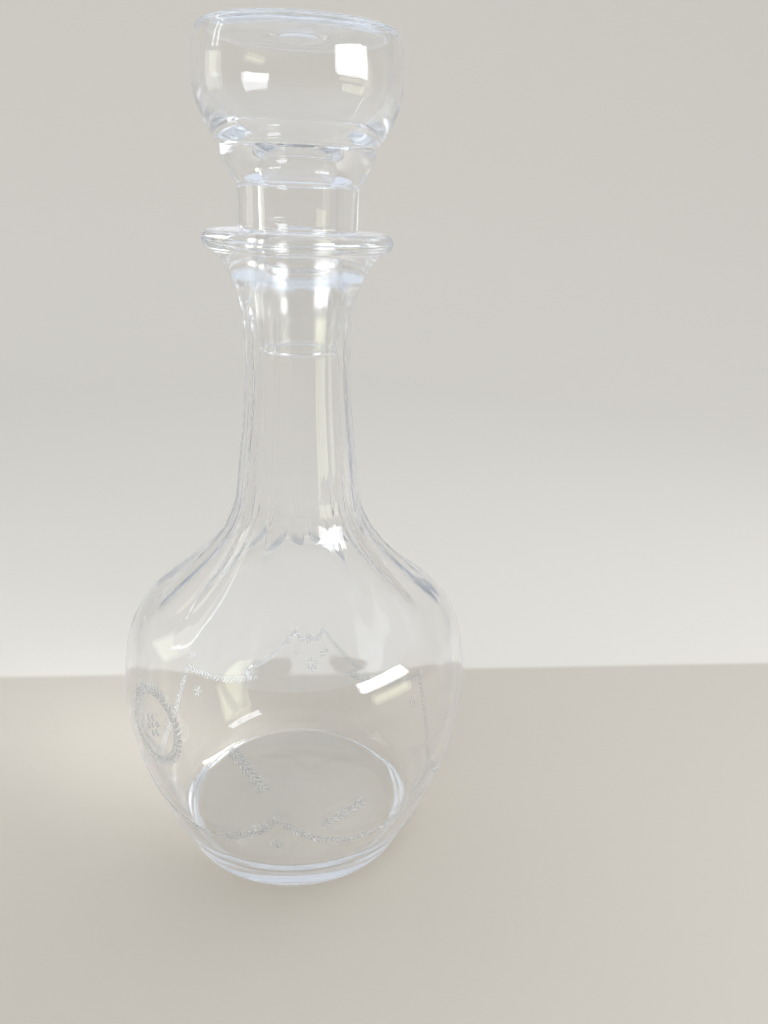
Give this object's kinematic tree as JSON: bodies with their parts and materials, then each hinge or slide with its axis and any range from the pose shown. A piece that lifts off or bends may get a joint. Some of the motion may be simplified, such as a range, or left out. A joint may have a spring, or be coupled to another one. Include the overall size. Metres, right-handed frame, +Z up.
{
  "type": "glass carafe",
  "caption": "Clear glass carafe with a bulb-shaped body, a fluted shoulder and neck, a rounded ring lip and a hollow blown stopper whose ground plug lifts out of the neck.",
  "frame": {"origin": "centre of the foot, on the surface the carafe stands on", "axes": "+Z up along the axis of the bottle and the stopper; -Y towards the front, where the middle of the garland sits"},
  "size_m": [0.1212, 0.1212, 0.2699],
  "materials": {
    "bottle_glass": "polished clear glass",
    "stopper_glass": "polished clear glass"
  },
  "bodies": {
    "bottle": {"bottle": "bottle_glass"},
    "stopper": {"stopper": "stopper_glass"}
  },
  "joints": [
    {"name": "stopper_lift", "type": "slide", "parent": "bottle", "child": "stopper", "axis": [0, 0, 1], "range_m": [0, 0.05]}
  ]
}
